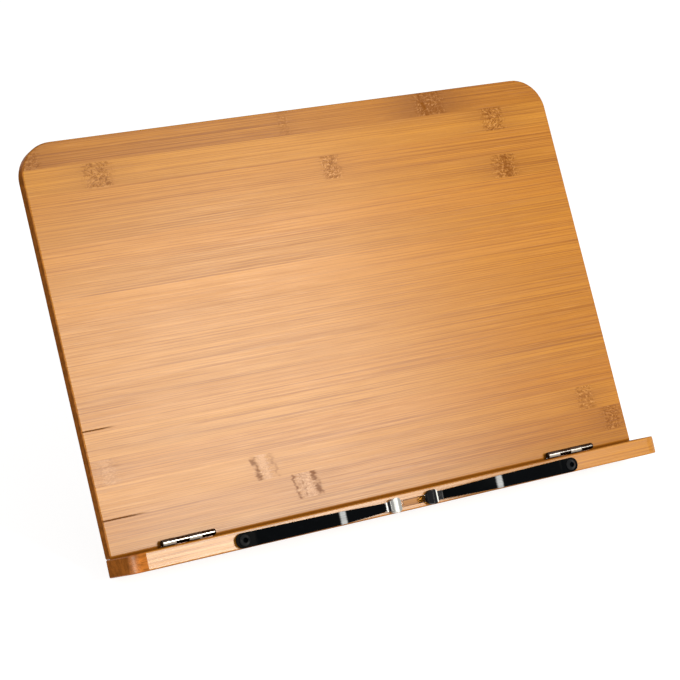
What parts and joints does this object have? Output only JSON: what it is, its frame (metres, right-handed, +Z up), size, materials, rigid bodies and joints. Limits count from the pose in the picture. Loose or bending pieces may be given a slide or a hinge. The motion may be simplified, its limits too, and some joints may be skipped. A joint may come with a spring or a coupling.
{
  "type": "book stand",
  "caption": "Leaning bamboo board with a folding ledge, swinging page clips with clear tips and a rear leg held open by a wire stay.",
  "frame": {"origin": "middle of the footprint, on the table", "axes": "+X to the right seen from the reader, +Y behind the stand, +Z up"},
  "size_m": [0.34, 0.1776, 0.2126],
  "materials": {
    "bamboo": "satin clear lacquer",
    "hinge_metal": "bright nickel plate",
    "screw_metal": "nickel plate",
    "clip_black": "satin black",
    "clear_cap": "clear vinyl",
    "wire_metal": "zinc plated",
    "saddle_metal": "zinc plated"
  },
  "bodies": {
    "board": {"board": "bamboo", "ledge_hinge_left_board_leaf": "hinge_metal", "ledge_hinge_right_board_leaf": "hinge_metal", "ledge_hinge_left_pin": "hinge_metal", "ledge_hinge_right_pin": "hinge_metal", "ledge_hinge_board_screws": "screw_metal", "leg_batten": "bamboo", "leg_hinge_left_batten_leaf": "hinge_metal", "leg_hinge_right_batten_leaf": "hinge_metal", "leg_hinge_left_pin": "hinge_metal", "leg_hinge_right_pin": "hinge_metal", "leg_hinge_batten_screws": "screw_metal", "stay_saddle_left": "saddle_metal", "stay_saddle_right": "saddle_metal", "stay_saddle_screws": "screw_metal"},
    "ledge": {"ledge": "bamboo", "ledge_hinge_left_ledge_leaf": "hinge_metal", "ledge_hinge_right_ledge_leaf": "hinge_metal", "ledge_hinge_ledge_screws": "screw_metal", "clip_left_screw": "clip_black", "clip_right_screw": "clip_black", "clip_left_washer": "clip_black", "clip_right_washer": "clip_black"},
    "clip_left": {"clip_left_arm": "clip_black", "clip_left_cap": "clear_cap"},
    "clip_right": {"clip_right_arm": "clip_black", "clip_right_cap": "clear_cap"},
    "leg": {"leg_head": "bamboo", "leg_rail_left": "bamboo", "leg_rail_right": "bamboo", "leg_foot_bar": "bamboo", "leg_hinge_left_leg_leaf": "hinge_metal", "leg_hinge_right_leg_leaf": "hinge_metal", "leg_hinge_leg_screws": "screw_metal"},
    "stay": {"stay_wire": "wire_metal"}
  },
  "joints": [
    {"name": "ledge_fold", "type": "hinge", "parent": "board", "child": "ledge", "pos_m": [0, -0.04857, 0.01513], "axis": [1, 0, 0], "range_deg": [-92.5, 0]},
    {"name": "clip_left_swing", "type": "hinge", "parent": "ledge", "child": "clip_left", "pos_m": [-0.1052, -0.0757, 0.02], "axis": [0, -0.8949, 0.4462], "range_deg": [0, 100]},
    {"name": "clip_right_swing", "type": "hinge", "parent": "ledge", "child": "clip_right", "pos_m": [0.1052, -0.0757, 0.02], "axis": [0, 0.8949, -0.4462], "range_deg": [0, 100]},
    {"name": "leg_fold", "type": "hinge", "parent": "board", "child": "leg", "pos_m": [0, 0.05482, 0.1567], "axis": [1, 0, 0], "range_deg": [-42, 0]},
    {"name": "stay_swing", "type": "hinge", "parent": "board", "child": "stay", "pos_m": [0, 0.00794, 0.09122], "axis": [-1, 0, 0], "range_deg": [-107.89, 0]}
  ]
}
